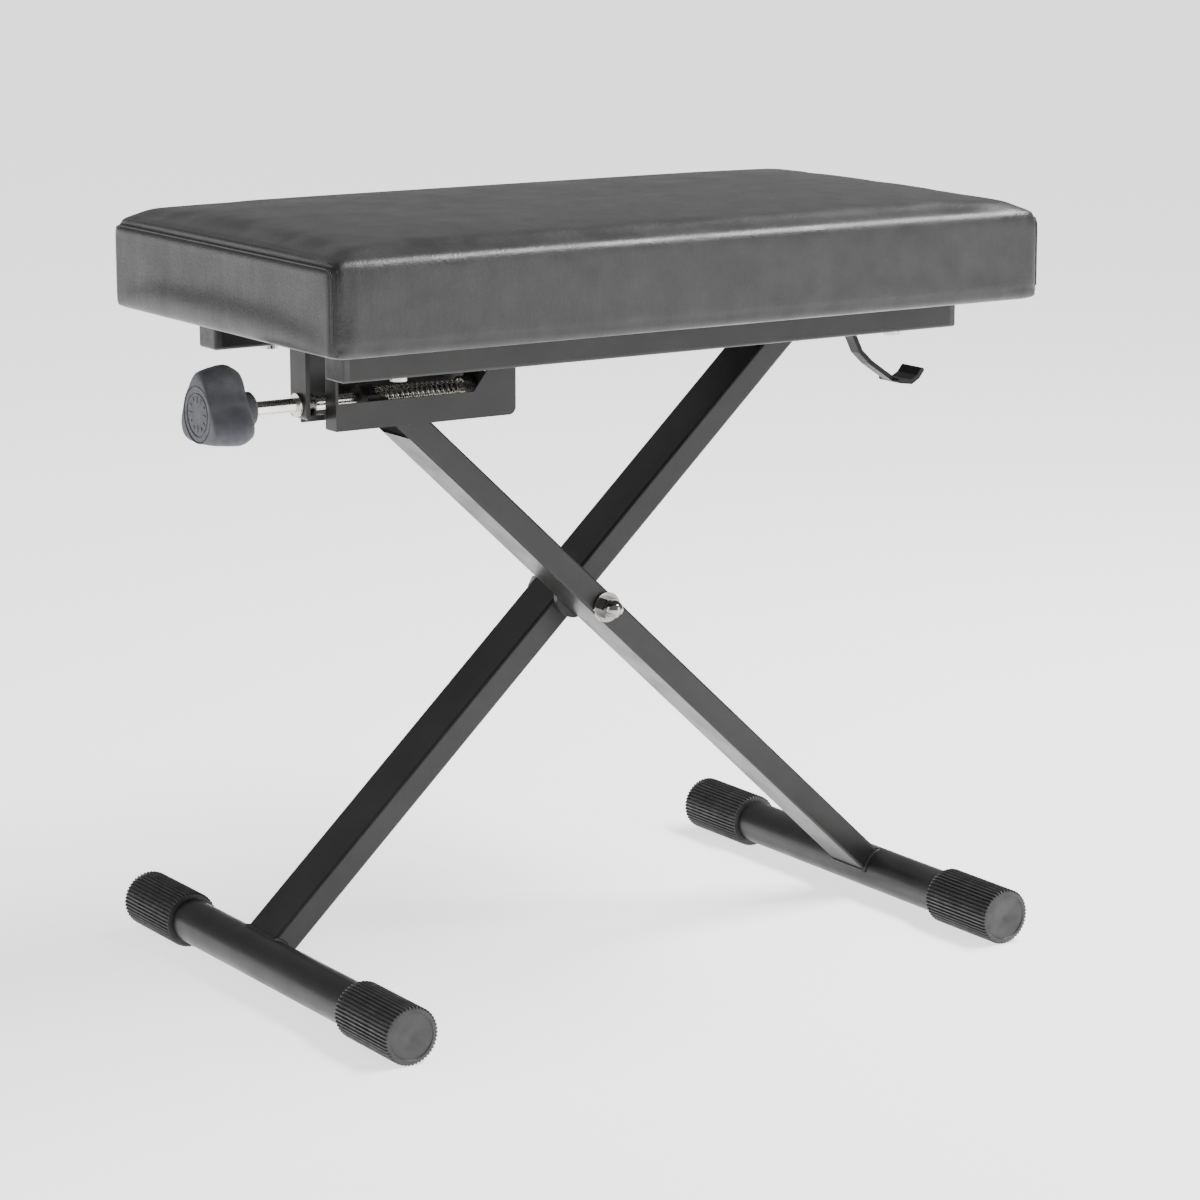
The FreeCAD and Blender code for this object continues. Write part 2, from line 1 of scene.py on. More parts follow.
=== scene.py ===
# %% [markdown]
# # A folding keyboard bench
# The bench is a padded seat on two crossed legs. A knob at the left end turns a screw under the seat,
# which draws the legs together or lets them apart. The lever at the right frees the legs for folding.
# The measured model gives every place and size here, so each soft or finely shaped piece starts from
# the box of the part that it stands for.

# %% Load the measured model
import json
import math
import bmesh
import bpy
from mathutils import Matrix, Vector, noise
from mathutils.bvhtree import BVHTree


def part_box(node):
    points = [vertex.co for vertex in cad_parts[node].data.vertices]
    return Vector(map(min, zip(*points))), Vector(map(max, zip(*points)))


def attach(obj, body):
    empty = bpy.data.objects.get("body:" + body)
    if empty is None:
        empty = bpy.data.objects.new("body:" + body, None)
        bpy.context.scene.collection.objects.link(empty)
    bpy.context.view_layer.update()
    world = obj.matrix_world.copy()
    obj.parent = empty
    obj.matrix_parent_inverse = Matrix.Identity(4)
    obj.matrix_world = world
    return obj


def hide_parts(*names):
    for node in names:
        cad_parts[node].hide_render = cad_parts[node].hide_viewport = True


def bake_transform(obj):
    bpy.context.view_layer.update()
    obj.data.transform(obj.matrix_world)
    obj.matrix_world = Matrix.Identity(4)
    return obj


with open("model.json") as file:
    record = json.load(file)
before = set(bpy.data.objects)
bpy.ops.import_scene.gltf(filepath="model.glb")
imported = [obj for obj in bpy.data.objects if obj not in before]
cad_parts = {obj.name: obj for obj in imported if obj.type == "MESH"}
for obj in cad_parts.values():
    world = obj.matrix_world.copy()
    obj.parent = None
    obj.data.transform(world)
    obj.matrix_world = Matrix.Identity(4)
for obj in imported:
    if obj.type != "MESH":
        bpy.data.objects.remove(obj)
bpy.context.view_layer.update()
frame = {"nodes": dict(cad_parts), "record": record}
scene = bpy.context.scene

# %% [markdown]
# ## Small helpers
# A piece is built in a bmesh and then handed to an object that sits at the origin. Edges sharper than
# a chosen angle stay crisp and the rest are shaded smooth, so a rounded edge reads as rounded without
# needing many faces.

# %% Turn a bmesh into a piece
def corners(part):
    low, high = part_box(part)
    return Vector(low), Vector(high)


def finish_piece(bm, name, body, finish, crisp=35):
    bmesh.ops.remove_doubles(bm, verts=bm.verts, dist=1e-6)
    bmesh.ops.recalc_face_normals(bm, faces=bm.faces)
    mesh = bpy.data.meshes.new(name)
    bm.to_mesh(mesh)
    bm.free()
    mesh.shade_smooth()
    mesh.set_sharp_from_angle(angle=math.radians(crisp))
    piece = bpy.data.objects.new(name, mesh)
    scene.collection.objects.link(piece)
    mesh.materials.append(finish)
    if body:
        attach(piece, body)
    print(name, len(mesh.polygons), "faces")
    return piece


# %% Nodes for the finishes
def new_finish(name, base, roughness, metallic=0.0):
    finish = bpy.data.materials.new(name)
    finish.use_nodes = True
    shader = finish.node_tree.nodes["Principled BSDF"]
    shader.inputs["Base Color"].default_value = (*base, 1.0)
    shader.inputs["Roughness"].default_value = roughness
    shader.inputs["Metallic"].default_value = metallic
    return finish, shader


def object_space(finish, stretch=(1, 1, 1)):
    nodes, links = finish.node_tree.nodes, finish.node_tree.links
    place = nodes.new("ShaderNodeTexCoord")
    mapping = nodes.new("ShaderNodeMapping")
    mapping.inputs["Scale"].default_value = stretch
    links.new(place.outputs["Object"], mapping.inputs["Vector"])
    return mapping.outputs["Vector"]


def clouds(finish, scale, detail=3.0, stretch=(1, 1, 1)):
    nodes, links = finish.node_tree.nodes, finish.node_tree.links
    cloud = nodes.new("ShaderNodeTexNoise")
    cloud.inputs["Scale"].default_value = scale
    cloud.inputs["Detail"].default_value = detail
    links.new(object_space(finish, stretch), cloud.inputs["Vector"])
    return cloud.outputs["Fac"]


def pebbles(finish, scale):
    nodes, links = finish.node_tree.nodes, finish.node_tree.links
    cells = nodes.new("ShaderNodeTexVoronoi")
    cells.inputs["Scale"].default_value = scale
    links.new(object_space(finish), cells.inputs["Vector"])
    return cells.outputs["Distance"]


def between(finish, value, low, high):
    nodes, links = finish.node_tree.nodes, finish.node_tree.links
    spread = nodes.new("ShaderNodeMapRange")
    spread.inputs["From Min"].default_value = 0.3
    spread.inputs["From Max"].default_value = 0.7
    spread.inputs["To Min"].default_value = low
    spread.inputs["To Max"].default_value = high
    links.new(value, spread.inputs["Value"])
    return spread.outputs["Result"]


def tint(finish, shader, value, dark, light):
    nodes, links = finish.node_tree.nodes, finish.node_tree.links
    ramp = nodes.new("ShaderNodeValToRGB")
    ramp.color_ramp.elements[0].position = 0.3
    ramp.color_ramp.elements[0].color = (*dark, 1.0)
    ramp.color_ramp.elements[1].position = 0.7
    ramp.color_ramp.elements[1].color = (*light, 1.0)
    links.new(value, ramp.inputs["Fac"])
    links.new(ramp.outputs["Color"], shader.inputs["Base Color"])


def relief(finish, shader, height, strength, depth):
    nodes, links = finish.node_tree.nodes, finish.node_tree.links
    bump = nodes.new("ShaderNodeBump")
    bump.inputs["Strength"].default_value = strength
    bump.inputs["Distance"].default_value = depth
    links.new(height, bump.inputs["Height"])
    under = shader.inputs["Normal"].links
    if under:
        links.new(under[0].from_socket, bump.inputs["Normal"])
    links.new(bump.outputs["Normal"], shader.inputs["Normal"])


# %% [markdown]
# ## Cover leather
# The seat is covered in black leathercloth with a fine pebbled grain and faint pull lines. The grain
# is a close cell pattern, and the pull lines are a cloud stretched one way. Broad clouds vary the
# roughness, which breaks the long reflections up as a hand-stretched cover does.

# %% Cover leather
leather, shader = new_finish("black_leathercloth", (0.014, 0.014, 0.014), 0.42)
shader.inputs["Sheen Weight"].default_value = 0.05
shader.inputs["Sheen Roughness"].default_value = 0.4
shader.inputs["Specular IOR Level"].default_value = 0.45
tint(leather, shader, clouds(leather, 60, 4), (0.009, 0.009, 0.0095), (0.019, 0.0185, 0.0185))
roughness = between(leather, clouds(leather, 35, 5, (1, 1, 0.5)), 0.34, 0.48)
leather.node_tree.links.new(roughness, shader.inputs["Roughness"])
relief(leather, shader, pebbles(leather, 900), 0.35, 0.00025)
relief(leather, shader, clouds(leather, 420, 5), 0.35, 0.0004)
relief(leather, shader, clouds(leather, 90, 3, (1.6, 1.0, 0.35)), 0.22, 0.001)

thread, shader = new_finish("black_thread", (0.05, 0.05, 0.05), 0.5)
shader.inputs["Sheen Weight"].default_value = 0.4
tint(thread, shader, clouds(thread, 900, 2), (0.02, 0.02, 0.02), (0.07, 0.07, 0.07))
relief(thread, shader, clouds(thread, 2500, 2), 0.5, 0.0002)

# %% [markdown]
# ## Powder coat
# The tubes, rails and housing are steel with a satin black powder coat. Powder coat flows out into a
# soft orange peel, so a cloud a few millimetres across lifts the surface by hundredths of a
# millimetre. A second cloud moves the roughness a little.

# %% Powder coat, dark steel and the dipped lever
powder, shader = new_finish("satin_powder_coat", (0.014, 0.014, 0.014), 0.34)
shader.inputs["Specular IOR Level"].default_value = 0.3
tint(powder, shader, clouds(powder, 25, 4), (0.012, 0.012, 0.012), (0.02, 0.0195, 0.019))
spread = between(powder, clouds(powder, 40, 5), 0.28, 0.42)
powder.node_tree.links.new(spread, shader.inputs["Roughness"])
relief(powder, shader, clouds(powder, 260, 2), 0.07, 0.0003)
relief(powder, shader, clouds(powder, 1400, 2), 0.12, 0.0001)

blackened, shader = new_finish("blackened_steel", (0.03, 0.03, 0.03), 0.4, 0.7)
tint(blackened, shader, clouds(blackened, 120, 4), (0.015, 0.015, 0.015), (0.05, 0.048, 0.045))
spread = between(blackened, clouds(blackened, 300, 4), 0.3, 0.5)
blackened.node_tree.links.new(spread, shader.inputs["Roughness"])
relief(blackened, shader, clouds(blackened, 700, 3), 0.3, 0.0002)

dipped, shader = new_finish("dipped_lever_coat", (0.011, 0.011, 0.011), 0.15)
shader.inputs["Specular IOR Level"].default_value = 0.15
spread = between(dipped, clouds(dipped, 60, 4), 0.36, 0.5)
dipped.node_tree.links.new(spread, shader.inputs["Roughness"])
relief(dipped, shader, clouds(dipped, 160, 2), 0.25, 0.0005)

# %% [markdown]
# ## Bright and dark plate
# The spindle, screws and spring are bright zinc. The bolt through the crossing has a darker chrome.
# Zinc on turned or drawn steel keeps fine lines round the bar, which a cloud stretched across its
# length gives.

# %% Plated steel
zinc, shader = new_finish("bright_zinc", (0.72, 0.7, 0.66), 0.25, 1.0)
tint(zinc, shader, clouds(zinc, 70, 5), (0.56, 0.54, 0.5), (0.8, 0.78, 0.74))
spread = between(zinc, clouds(zinc, 200, 4, (6, 1, 1)), 0.14, 0.34)
zinc.node_tree.links.new(spread, shader.inputs["Roughness"])
relief(zinc, shader, clouds(zinc, 260, 3, (8, 1, 1)), 0.2, 0.0001)

chrome, shader = new_finish("dark_chrome", (0.3, 0.29, 0.28), 0.12, 1.0)
tint(chrome, shader, clouds(chrome, 90, 4), (0.2, 0.195, 0.19), (0.36, 0.35, 0.34))
spread = between(chrome, clouds(chrome, 240, 4), 0.07, 0.2)
chrome.node_tree.links.new(spread, shader.inputs["Roughness"])
relief(chrome, shader, clouds(chrome, 900, 3), 0.12, 0.0001)

# %% [markdown]
# ## Rubber, plastic and board
# The foot caps are ribbed rubber, the knob is a dry, dark bluish rubber with a moulded grain, and the
# small end caps are plain plastic. The board under the pad is plywood, shown only from below.

# %% Rubber, plastic and board
foot_rubber, shader = new_finish("foot_rubber", (0.018, 0.018, 0.018), 0.5)
tint(foot_rubber, shader, clouds(foot_rubber, 80, 4), (0.012, 0.012, 0.012), (0.028, 0.028, 0.029))
spread = between(foot_rubber, clouds(foot_rubber, 140, 4), 0.36, 0.62)
foot_rubber.node_tree.links.new(spread, shader.inputs["Roughness"])
relief(foot_rubber, shader, clouds(foot_rubber, 1500, 3), 0.25, 0.0002)

grip, shader = new_finish("knob_rubber", (0.045, 0.047, 0.055), 0.72)
shader.inputs["Sheen Weight"].default_value = 0.2
tint(grip, shader, clouds(grip, 110, 4), (0.036, 0.037, 0.044), (0.062, 0.064, 0.074))
spread = between(grip, clouds(grip, 300, 3), 0.6, 0.82)
grip.node_tree.links.new(spread, shader.inputs["Roughness"])
relief(grip, shader, pebbles(grip, 1600), 0.4, 0.0002)

plastic, shader = new_finish("black_plastic", (0.02, 0.02, 0.02), 0.4)
tint(plastic, shader, clouds(plastic, 150, 3), (0.014, 0.014, 0.014), (0.027, 0.027, 0.027))
spread = between(plastic, clouds(plastic, 200, 3), 0.32, 0.5)
plastic.node_tree.links.new(spread, shader.inputs["Roughness"])
relief(plastic, shader, clouds(plastic, 1800, 2), 0.3, 0.0001)

plywood, shader = new_finish("birch_plywood", (0.45, 0.31, 0.18), 0.6)
tint(plywood, shader, clouds(plywood, 90, 6, (0.05, 1, 1)), (0.33, 0.21, 0.11), (0.55, 0.4, 0.25))
spread = between(plywood, clouds(plywood, 200, 4, (0.1, 1, 1)), 0.5, 0.72)
plywood.node_tree.links.new(spread, shader.inputs["Roughness"])
relief(plywood, shader, clouds(plywood, 300, 5, (0.04, 1, 1)), 0.4, 0.0003)
print("finishes", len(bpy.data.materials))

# %% Give every carried-over part its finish
BY_SLOT = {"cover": leather, "board": plywood, "foot_rubber": foot_rubber, "black_plastic": plastic,
           "grip": grip, "plated_steel": zinc, "dark_steel": blackened, "dipped_black": dipped,
           "powder_black": powder}
slot_of = {part["node"]: part["material_slot"] for part in frame["record"]["subparts"]}
for part, obj in frame["nodes"].items():
    finish = BY_SLOT[slot_of[part]]
    if part in ("pivot_nut", "pivot_washer"):
        finish = chrome
    obj.data.materials.clear()
    obj.data.materials.append(finish)
print("parts with a finish", len(slot_of))

# %% [markdown]
# ## Floor, light and camera
# The bench stands on a wide, plain, pale floor. A broad light from the front right,
# a smaller one behind at the left and a long one above give satin black its soft grey faces, and the
# long one draws the bright line along the front edge of the seat. The camera stands low and well back, left of the bench.

# %% Floor and light
bm = bmesh.new()
bmesh.ops.create_grid(bm, x_segments=1, y_segments=1, size=40.0)
floor_mesh = bpy.data.meshes.new("floor")
bm.to_mesh(floor_mesh)
bm.free()
floor = bpy.data.objects.new("floor", floor_mesh)
scene.collection.objects.link(floor)
paper, shader = new_finish("white_paper", (0.92, 0.92, 0.92), 0.9)
shader.inputs["Emission Color"].default_value = (1, 1, 1, 1)
shader.inputs["Emission Strength"].default_value = 1.6
floor_mesh.materials.append(paper)

world = bpy.data.worlds.new("studio")
scene.world = world
world.use_nodes = True
backdrop = world.node_tree.nodes["Background"]
backdrop.inputs["Color"].default_value = (1, 1, 1, 1)
seen = world.node_tree.nodes.new("ShaderNodeLightPath")
level = world.node_tree.nodes.new("ShaderNodeMapRange")
level.inputs["To Min"].default_value = 0.35
level.inputs["To Max"].default_value = 3.2
world.node_tree.links.new(seen.outputs["Is Camera Ray"], level.inputs["Value"])
world.node_tree.links.new(level.outputs["Result"], backdrop.inputs["Strength"])


def softbox(name, place, aim, width, height, power):
    light = bpy.data.lights.new(name, "AREA")
    light.shape = "RECTANGLE"
    light.size = width
    light.size_y = height
    light.energy = power
    lamp = bpy.data.objects.new(name, light)
    lamp.location = place
    lamp.rotation_euler = (Vector(aim) - Vector(place)).to_track_quat("-Z", "Y").to_euler()
    scene.collection.objects.link(lamp)


softbox("front_light", (1.5, -2.4, 0.9), (0, 0, 0.35), 1.6, 1.2, 22)
softbox("top_light", (1.15, -0.5, 2.0), (0, -0.05, 0.45), 1.6, 0.4, 95)
softbox("left_light", (-2.2, 1.0, 0.8), (-0.1, 0, 0.35), 1.2, 1.2, 12)

# %% Camera
camera = bpy.data.objects.new("camera", bpy.data.cameras.new("camera"))
camera.location = (-1.329, -2.0958, 0.7569)
camera.rotation_euler = (math.radians(90 - 12.364), -0.0019, math.radians(-33.553))
camera.data.sensor_width = 36
camera.data.lens = 114.84
camera.data.shift_x = -0.0385
camera.data.shift_y = 0.0224
scene.collection.objects.link(camera)
scene.camera = camera
print("camera lens", camera.data.lens)

# %% [markdown]
# ## Seat pad
# Foam under a tight cover is nearly a box, but every face swells a little and no edge is sharp. The
# block starts slightly small, is remeshed to even cells, and is blown up by a cloth simulation while
# its underside is held. Each point's travel is capped, so the pad ends the size of the real one.

# %% The block that gets blown up
SHRINK = 0.004
CELL = 0.005
seat_low, seat_high = corners("seat_cushion")
EDGE_TOP = seat_low.z + 0.0605
middle = (seat_low + seat_high) / 2


def applied(obj):
    """The mesh that an object's modifiers give."""
    graph = bpy.context.evaluated_depsgraph_get()
    return bpy.data.meshes.new_from_object(obj.evaluated_get(graph))


def pad_block():
    bm = bmesh.new()
    bmesh.ops.create_cube(bm, size=1.0)
    length = seat_high.x - seat_low.x - 2 * SHRINK
    depth = seat_high.y - seat_low.y - 2 * SHRINK
    height = EDGE_TOP - SHRINK / 2 - seat_low.z + 0.001
    bmesh.ops.scale(bm, vec=(length, depth, height), verts=bm.verts)
    bmesh.ops.translate(bm, vec=(middle.x, middle.y, seat_low.z - 0.001 + height / 2), verts=bm.verts)
    upright = [e for e in bm.edges if abs(e.verts[0].co.z - e.verts[1].co.z) > 0.01]
    bmesh.ops.bevel(bm, geom=upright, offset=0.006, segments=3, profile=0.5, affect="EDGES", material=-1)
    level = max(v.co.z for v in bm.verts) - 1e-5
    upper = [e for e in bm.edges if all(v.co.z > level for v in e.verts)]
    bmesh.ops.bevel(bm, geom=upper, offset=0.007, segments=3, profile=0.5, affect="EDGES", material=-1)
    return bm


bm = pad_block()
block_mesh = bpy.data.meshes.new("pad_block")
bm.to_mesh(block_mesh)
bm.free()
pad = bpy.data.objects.new("pad", block_mesh)
scene.collection.objects.link(pad)
remesh = pad.modifiers.new("even_cells", "REMESH")
remesh.mode = "VOXEL"
remesh.voxel_size = CELL
pad.data = applied(pad)
pad.modifiers.clear()
CROWN = 0.007
for v in pad.data.vertices:
    if v.co.z > EDGE_TOP - 0.012:
        along = abs(v.co.x - middle.x) / (seat_high.x - seat_low.x) * 2
        across = abs(v.co.y - middle.y) / (seat_high.y - seat_low.y) * 2
        v.co.z += CROWN * max(0, 1 - along ** 7) * max(0, 1 - across ** 3)
print("pad cells", len(pad.data.polygons))


# %% Blow it up
def blow_up(obj, pressure, cap, held_below, frames=20):
    start = [v.co.copy() for v in obj.data.vertices]
    held = obj.vertex_groups.new(name="held")
    held.add([v.index for v in obj.data.vertices if v.co.z < held_below], 1.0, "REPLACE")
    cloth = obj.modifiers.new("cloth", "CLOTH")
    cloth.settings.quality = 5
    cloth.settings.use_pressure = True
    cloth.settings.uniform_pressure_force = pressure
    cloth.settings.vertex_group_mass = "held"
    cloth.settings.effector_weights.gravity = 0.0
    for step in range(1, frames + 1):
        scene.frame_set(step)
    blown = [v.co.copy() for v in applied(obj).vertices]
    obj.modifiers.remove(cloth)
    scene.frame_set(1)
    outward = [v.normal.copy() for v in obj.data.vertices]
    for v, way, a, b in zip(obj.data.vertices, outward, start, blown):
        out = (b - a).dot(way)
        along = (b - a) - way * out
        v.co = a + way * max(0.0, min(cap, out)) + along.normalized() * min(along.length, 0.0012)
    return max((b - a).length for a, b in zip(start, blown))


print("swell", round(blow_up(pad, 4.0, 0.004, seat_low.z + 0.003), 4))
bm = bmesh.new()
bm.from_mesh(pad.data)
for _ in range(3):
    bmesh.ops.smooth_vert(bm, verts=bm.verts, factor=0.4, use_axis_x=True, use_axis_y=True, use_axis_z=True)
bm.to_mesh(pad.data)
bm.free()
smooth = pad.modifiers.new("finer", "SUBSURF")
smooth.levels = 1
smooth.render_levels = 1
pad.data = applied(pad)
pad.modifiers.clear()
print("pad faces", len(pad.data.polygons))

# %% [markdown]
# ## Seams of the cover
# The end panels are sewn to the one long panel that wraps over the front, top and back. The seam
# allowance makes a low ridge round each end panel, with a line of stitches inside it. The ridge is
# pushed into the mesh itself, and the cord-like seam edges and the stitches are separate pieces that
# follow the surface.

# %% Ridge, channel and puckers in the pad
def end_distance(point):
    """How far a point on an end panel is from the panel's sewn edges."""
    side = (seat_high.y - seat_low.y) / 2 - abs(point.y - middle.y)
    return min(side, EDGE_TOP + 0.001 - point.z)


def swell(value, centre, width):
    return math.exp(-((value - centre) / width) ** 2)


FACING = 0.6
END_ZONE = 0.25
bm = bmesh.new()
bm.from_mesh(pad.data)
bm.normal_update()
end_faces = []
for f in bm.faces:
    spot = f.calc_center_median()
    if abs(f.normal.x) > FACING and abs(spot.x - middle.x) > END_ZONE and end_distance(spot) < 0.016:
        end_faces.append(f)
end_edges = list({e for f in end_faces for e in f.edges})
bmesh.ops.subdivide_edges(bm, edges=end_edges, cuts=1, use_grid_fill=True)
bm.normal_update()
half = (seat_high.x - seat_low.x) / 2
moves = []
for v in bm.verts:
    shift = 0.0
    if abs(v.normal.x) > FACING and abs(v.co.x - middle.x) > END_ZONE:
        away = end_distance(v.co)
        shift += 0.0011 * swell(away, 0.0038, 0.0018)
        shift -= 0.0013 * swell(away, 0.0072, 0.0015)
        shift += 0.0004 * swell(away, 0.0105, 0.003)
    elif v.co.z > seat_low.z + 0.003 and abs(v.normal.x) < FACING:
        near_end = half - abs(v.co.x - middle.x)
        shift -= 0.0008 * swell(near_end, 0.006, 0.003)
        if abs(v.normal.y) > FACING:
            ripple = noise.noise(Vector((v.co.x * 120, 0.0, v.co.z * 22)))
            shift += 0.0009 * ripple * swell(near_end, 0.012, 0.016)
            low = v.co.z - seat_low.z
            wander = 0.7 + 0.5 * noise.noise(Vector((v.co.x * 40, 2, 0)))
            shift -= 0.0008 * swell(low, 0.0065, 0.0018) * wander
            gather = noise.noise(Vector((v.co.x * 55, 5.0, v.co.z * 12)))
            shift += 0.0006 * gather * swell(low, 0.0, 0.014)
    moves.append(shift)
for v, shift in zip(list(bm.verts), moves):
    v.co += v.normal * shift
cushion = finish_piece(bm, "seat_pad", "seat", leather, crisp=70)
bpy.data.objects.remove(pad)
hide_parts("seat_cushion")
cover_tree = BVHTree.FromObject(cushion, bpy.context.evaluated_depsgraph_get())


# %% Follow the outline of an end panel
def section(x, above):
    """The pad's outline at x, cut with a plane, as points in order from the front foot to the back one."""
    cut = bmesh.new()
    cut.from_mesh(cushion.data)
    sliced = bmesh.ops.bisect_plane(cut, geom=cut.verts[:] + cut.edges[:] + cut.faces[:],
                                    plane_co=(x, 0, 0), plane_no=(1, 0, 0))
    ring = {g for g in sliced["geom_cut"] if isinstance(g, bmesh.types.BMVert)}
    low_front = [v for v in ring if abs(v.co.z - above) < 0.004 and v.co.y < middle.y]
    start = min(low_front, key=lambda v: v.co.y)
    line, seen, here = [start.co.copy()], {start}, start
    while True:
        steps = [e.other_vert(here) for e in here.link_edges]
        steps = [v for v in steps if v in ring and v not in seen]
        if not steps:
            break
        here = max(steps, key=lambda v: v.co.z if len(line) < 3 else 0)
        seen.add(here)
        line.append(here.co.copy())
    cut.free()
    end = next((i for i, p in enumerate(line) if p.y > middle.y and p.z < above), len(line))
    return line[:end]


def even(line, gap):
    """The same line with points a fixed gap apart."""
    points, left = [line[0].copy()], gap
    for a, b in zip(line, line[1:]):
        run = (b - a).length
        done = 0.0
        while run - done >= left:
            done += left
            points.append(a.lerp(b, done / run))
            left = gap
        left -= run - done
    return points


def on_end_panel(line, x_out, inset):
    """Moves an outline in from the panel's edges and lays it on the panel."""
    pulled = []
    direction = Vector((middle.x - x_out, 0, 0)).normalized()
    for point in line:
        y = point.y
        z = min(point.z, EDGE_TOP + 0.001 - inset)
        limit = (seat_high.y - seat_low.y) / 2 - inset
        y = max(-limit, min(limit, y))
        hit = cover_tree.ray_cast(Vector((x_out, y, z)), direction)[0]
        if hit:
            pulled.append(hit)
    return pulled


def tube(name, line, radius, finish, body="seat"):
    """A thin round strand along a line, closed at both ends."""
    curve = bpy.data.curves.new(name, "CURVE")
    curve.dimensions = "3D"
    curve.bevel_depth = radius
    curve.bevel_resolution = 2
    curve.use_fill_caps = True
    spline = curve.splines.new("POLY")
    spline.points.add(len(line) - 1)
    for target, point in zip(spline.points, line):
        target.co = (*point, 1.0)
    strand = bpy.data.objects.new(name, curve)
    scene.collection.objects.link(strand)
    bm = bmesh.new()
    bm.from_mesh(applied(strand))
    bpy.data.objects.remove(strand)
    return finish_piece(bm, name, body, finish, crisp=60)


def stitches(name, line, length=0.0031, thick=0.0006):
    """A row of small rounded stitches along a line."""
    bm = bmesh.new()
    points = even(line, 0.0044)
    for a, b in zip(points, points[1:]):
        way = (b - a).normalized()
        turn = way.to_track_quat("Z", "Y").to_matrix().to_4x4()
        size = Matrix.Diagonal((thick, thick, length / 2, 1))
        bmesh.ops.create_uvsphere(bm, u_segments=6, v_segments=5, radius=1.0,
                                  matrix=Matrix.Translation(a.lerp(b, 0.5)) @ turn @ size)
    return finish_piece(bm, name, "seat", thread, crisp=80)


# %% Sew both ends
for side, x_end in (("left", seat_low.x), ("right", seat_high.x)):
    sign = 1 if side == "left" else -1
    outline = even(section(x_end + sign * 0.006, seat_low.z + 0.006), 0.004)
    x_out = x_end - sign * 0.05
    tube(f"{side}_long_panel_seam", [p - Vector((0, 0, 0.0004)) for p in outline], 0.0008, leather)
    tube(f"{side}_end_panel_seam", on_end_panel(outline, x_out, 0.0045), 0.0009, leather)
    stitches(f"{side}_end_stitches", on_end_panel(even(outline, 0.002), x_out, 0.0072))
    print(side, "seam points", len(outline))

# %% [markdown]
# ## Foot caps
# Each foot ends in a push-on rubber cap with fine ribs along it and a flat disc for an end. The cap
# is one circle extruded from station to station. At the ribbed stations every other pair of points
# drops in a little, so the grooves run out through the edge of the disc.

# %% Foot caps
RIBS = 46
RIB_DEPTH = 0.0012


def drawn_shell(bm, segments, stations, radius_at, place):
    """A circle extruded from station to station; radius_at says how far each point is from the axis."""
    made = bmesh.ops.create_circle(bm, segments=segments, radius=1.0)
    verts = made["verts"]
    edges = list({e for v in verts for e in v.link_edges})
    for number, station in enumerate(stations):
        if number:
            made = bmesh.ops.extrude_edge_only(bm, edges=edges)
            verts = [g for g in made["geom"] if isinstance(g, bmesh.types.BMVert)]
            edges = [g for g in made["geom"] if isinstance(g, bmesh.types.BMEdge)]
        for v in verts:
            turn = math.atan2(v.co.y, v.co.x)
            reach = radius_at(station, turn)
            v.co = (math.cos(turn) * reach, math.sin(turn) * reach, station[0])
    bmesh.ops.holes_fill(bm, edges=[e for e in bm.edges if e.is_boundary], sides=0)
    bmesh.ops.transform(bm, matrix=place, verts=bm.verts)


def ribbed(station, turn):
    step = round(turn / (math.tau / (RIBS * 4))) % 4
    return station[1] - (station[2] if step > 1 else 0)


def foot_cap(node, name, body):
    low, high = corners(node)
    centre = (low + high) / 2
    radius = (high.z - low.z) / 2
    outer, inner = (low.y, high.y) if centre.y < 0 else (high.y, low.y)
    out = 1 if outer > inner else -1
    bm = bmesh.new()
    stack = [(inner, radius - 0.0036, 0), (inner, radius - 0.0012, 0),
             (inner + out * 0.001, radius - 0.0002, 0.0009),
             (inner + out * 0.0018, radius, RIB_DEPTH), (outer - out * 0.0012, radius, RIB_DEPTH),
             (outer - out * 0.0003, radius - 0.0006, 0.0008), (outer, radius - 0.0018, 0),
             (outer, radius - 0.0036, 0), (outer - out * 0.0006, radius - 0.0041, 0),
             (outer - out * 0.0006, 0.0028, 0), (outer - out * 0.0009, 0.0022, 0)]
    along_y = Matrix.Translation((centre.x, 0, centre.z)) @ Matrix.Rotation(-math.pi / 2, 4, "X")
    drawn_shell(bm, RIBS * 4, stack, ribbed, along_y)
    cap = finish_piece(bm, name, body, foot_rubber, crisp=32)
    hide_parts(node)


for node, name, body in (("right_foot_front_cap", "right_front_ribbed_cap", "front_frame"),
                         ("right_foot_rear_cap", "right_rear_ribbed_cap", "front_frame"),
                         ("left_foot_front_cap", "left_front_ribbed_cap", "rear_frame"),
                         ("left_foot_rear_cap", "left_rear_ribbed_cap", "rear_frame")):
    foot_cap(node, name, body)

# %% [markdown]
# ## Knob
# The knob is a soft-edged rubber grip with three lobes and a round hub behind. The same
# extruded shell makes it, with points drawn out towards three lobes at each station. The face
# carries a plain raised ring and twelve short marks.

# %% Knob
LOBES = 3
knob_low, knob_high = corners("knob")
shaft_low, shaft_high = corners("spindle")
shaft = (shaft_low + shaft_high) / 2


def lobed(station, turn):
    """Out to the second number at the lobes and in to the third between them."""
    lobe = (1 + math.cos(LOBES * (turn - math.pi))) / 2
    return station[2] + (station[1] - station[2]) * lobe ** 1.8


